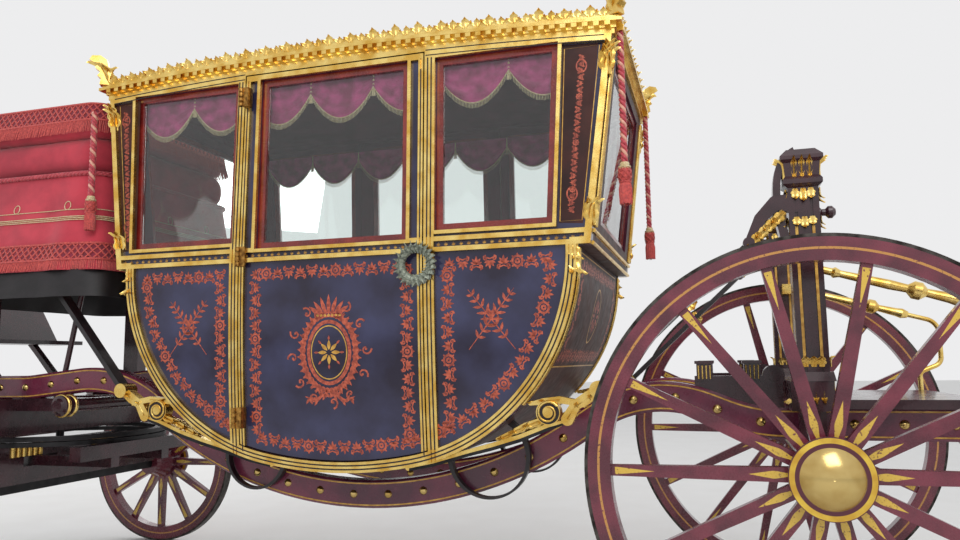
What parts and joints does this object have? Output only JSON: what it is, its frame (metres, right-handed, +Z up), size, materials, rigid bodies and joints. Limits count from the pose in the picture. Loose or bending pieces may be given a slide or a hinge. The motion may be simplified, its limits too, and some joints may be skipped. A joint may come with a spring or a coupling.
{
  "type": "horse-drawn state coach",
  "caption": "State coach of berlin type: panelled cabin with doors and glass slung on leather braces over two curved perches, turning fore-carriage, draped driver seat, footman stand.",
  "frame": {"origin": "on the ground below the middle of the overall length, on the centreline", "axes": "+X towards the horses, +Y to the left, +Z up"},
  "size_m": [5.5998, 2.105, 2.7414],
  "materials": {
    "gilt": "gold leaf over carved wood",
    "body_lacquer": "dark aubergine lacquer with painted ornament",
    "roof_leather": "black japanned leather over wood",
    "crimson_wood": "crimson paint",
    "glass": "clear plate glass",
    "wheel_paint": "aubergine red paint with gold lines",
    "tyre_iron": "black wrought iron",
    "brass": "polished brass",
    "carriage_paint": "dark aubergine paint with gold lines",
    "iron": "black wrought iron",
    "seat_wood": "dark stained wood",
    "brace_leather": "black harness leather",
    "crimson_velvet": "crimson velvet and silk"
  },
  "bodies": {
    "carriage": {"body_floor": "body_lacquer", "body_loops": "gilt", "braces": "brace_leather", "cornice": "gilt", "cresting": "gilt", "driver_cushion": "crimson_velvet", "footboard": "carriage_paint", "footman_platform": "carriage_paint", "front_standards": "carriage_paint", "front_transom": "carriage_paint", "front_wall": "body_lacquer", "hammercloth": "crimson_velvet", "kingpin": "iron", "mouldings": "gilt", "panes": "glass", "perches": "carriage_paint", "rear_axle": "iron", "rear_axle_bed": "carriage_paint", "rear_rails": "gilt", "rear_standards": "carriage_paint", "rear_wall": "body_lacquer", "roof": "roof_leather", "rope_box_left": "crimson_velvet", "rope_box_right": "crimson_velvet", "rope_rear_left": "crimson_velvet", "rope_rear_right": "crimson_velvet", "sashes": "crimson_wood", "seat_frame": "seat_wood", "seats": "crimson_velvet", "side_wall_left": "body_lacquer", "side_wall_right": "body_lacquer", "tassels": "crimson_velvet", "valances": "crimson_velvet", "wheel_plate_upper": "iron", "windlass": "carriage_paint"},
    "door_left": {"door_left": "body_lacquer", "door_sash_left": "crimson_wood", "door_pane_left": "glass", "door_trim_left": "gilt"},
    "door_right": {"door_right": "body_lacquer", "door_sash_right": "crimson_wood", "door_pane_right": "glass", "door_trim_right": "gilt"},
    "fore_carriage": {"front_axle": "iron", "front_axle_bed": "carriage_paint", "wheel_plate_lower": "iron", "futchells": "carriage_paint", "splinter_bar": "carriage_paint"},
    "wheel_rear_left_body": {"wheel_rear_left": "wheel_paint", "tyre_rear_left": "tyre_iron", "hub_cap_rear_left": "brass"},
    "wheel_rear_right_body": {"wheel_rear_right": "wheel_paint", "tyre_rear_right": "tyre_iron", "hub_cap_rear_right": "brass"},
    "wheel_front_left_body": {"wheel_front_left": "wheel_paint", "tyre_front_left": "tyre_iron", "hub_cap_front_left": "brass"},
    "wheel_front_right_body": {"wheel_front_right": "wheel_paint", "tyre_front_right": "tyre_iron", "hub_cap_front_right": "brass"}
  },
  "joints": [
    {"name": "door_left_hinge", "type": "hinge", "parent": "carriage", "child": "door_left", "pos_m": [0.408, 0.694, 1.676], "axis": [0, 0, -1], "range_deg": [0, 80]},
    {"name": "door_right_hinge", "type": "hinge", "parent": "carriage", "child": "door_right", "pos_m": [0.408, -0.694, 1.676], "axis": [0, 0, 1], "range_deg": [0, 80]},
    {"name": "steering", "type": "hinge", "parent": "carriage", "child": "fore_carriage", "pos_m": [2.056, 0, 0.775], "axis": [0, 0, 1], "range_deg": [-35, 35]},
    {"name": "wheel_rear_left_spin", "type": "hinge", "parent": "carriage", "child": "wheel_rear_left_body", "pos_m": [-2, 0.9155, 0.8], "axis": [0, 1, 0], "continuous": true},
    {"name": "wheel_rear_right_spin", "type": "hinge", "parent": "carriage", "child": "wheel_rear_right_body", "pos_m": [-2, -0.9155, 0.8], "axis": [0, 1, 0], "continuous": true},
    {"name": "wheel_front_left_spin", "type": "hinge", "parent": "fore_carriage", "child": "wheel_front_left_body", "pos_m": [2.056, 0.9155, 0.532], "axis": [0, 1, 0], "continuous": true},
    {"name": "wheel_front_right_spin", "type": "hinge", "parent": "fore_carriage", "child": "wheel_front_right_body", "pos_m": [2.056, -0.9155, 0.532], "axis": [0, 1, 0], "continuous": true}
  ]
}
